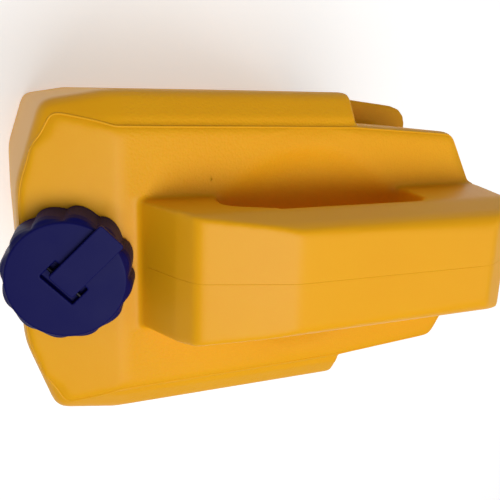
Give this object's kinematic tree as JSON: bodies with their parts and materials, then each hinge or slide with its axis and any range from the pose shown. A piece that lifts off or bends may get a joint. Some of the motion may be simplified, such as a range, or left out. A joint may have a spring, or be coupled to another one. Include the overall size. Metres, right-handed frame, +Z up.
{
  "type": "portable eyewash station",
  "caption": "Gravity-fed portable eyewash tank with carrying handle, lugged fill cap with flip vent, and fold-down bowl that opens the valve to the spray heads.",
  "frame": {"origin": "on the tank's flat base, midway between its front face and rear wall and midway between its flanks", "axes": "+Z up, -Y to the front where the bowl folds down, +Y to the fill cap, +X to the right of a user who stands in front and faces the bowl: the nodes named left are on that user's left, at -X"},
  "size_m": [0.248, 0.4031, 0.4509],
  "materials": {
    "tank": "blow-moulded, fine leather grain",
    "bowl": "moulded satin",
    "cap": "injection-moulded satin",
    "white_plastic": "moulded semi-gloss",
    "grey_plastic": "moulded satin",
    "rubber": "moulded matte",
    "steel": "turned and pressed, fine brushed",
    "brass": "turned"
  },
  "bodies": {
    "tank": {"tank_shell": "tank", "outlet_fitting": "grey_plastic", "outlet_gasket": "rubber", "outlet_nut": "grey_plastic", "outlet_strainer": "white_plastic", "valve_body": "grey_plastic", "pivot_pin_left": "steel", "pivot_pin_right": "steel", "pivot_washer_left": "steel", "pivot_washer_right": "steel", "pivot_insert_left": "brass", "pivot_insert_right": "brass", "catch_clip": "steel", "catch_screw": "steel"},
    "bowl": {"wash_bowl": "bowl", "valve_rotor": "white_plastic", "rotor_seal_left": "rubber", "rotor_seal_right": "rubber", "pivot_bush_left": "white_plastic", "pivot_bush_right": "white_plastic", "supply_tube_left": "grey_plastic", "supply_tube_right": "grey_plastic", "spray_head_left": "white_plastic", "spray_head_right": "white_plastic", "flow_disc_left": "grey_plastic", "flow_disc_right": "grey_plastic", "spray_rose_left": "steel", "spray_rose_right": "steel", "head_screw_left": "steel", "head_screw_right": "steel"},
    "gasket": {"cap_gasket": "rubber"},
    "cap": {"fill_cap": "cap", "vent_flap_pin": "steel"},
    "flap": {"vent_flap": "cap", "vent_plug": "rubber"}
  },
  "joints": [
    {"name": "bowl_fold", "type": "hinge", "parent": "tank", "child": "bowl", "pos_m": [0, -0.149, 0.08], "axis": [1, 0, 0], "range_deg": [0, 90]},
    {"name": "cap_lift", "type": "slide", "parent": "tank", "child": "gasket", "axis": [0, 0.2351, 0.972], "range_m": [0, 0.0076]},
    {"name": "cap_turn", "type": "hinge", "parent": "gasket", "child": "cap", "pos_m": [0, 0.16, 0.36402], "axis": [0, 0.2351, 0.972], "range_deg": [0, 450]},
    {"name": "vent_flip", "type": "hinge", "parent": "cap", "child": "flap", "pos_m": [-0.00141, 0.16822, 0.39197], "axis": [-0.7071, -0.6873, 0.1663], "range_deg": [0, 90]}
  ],
  "couplings": [
    {"joint": "cap_lift", "follows": "cap_turn", "m_per_rad": 0.00095493}
  ]
}
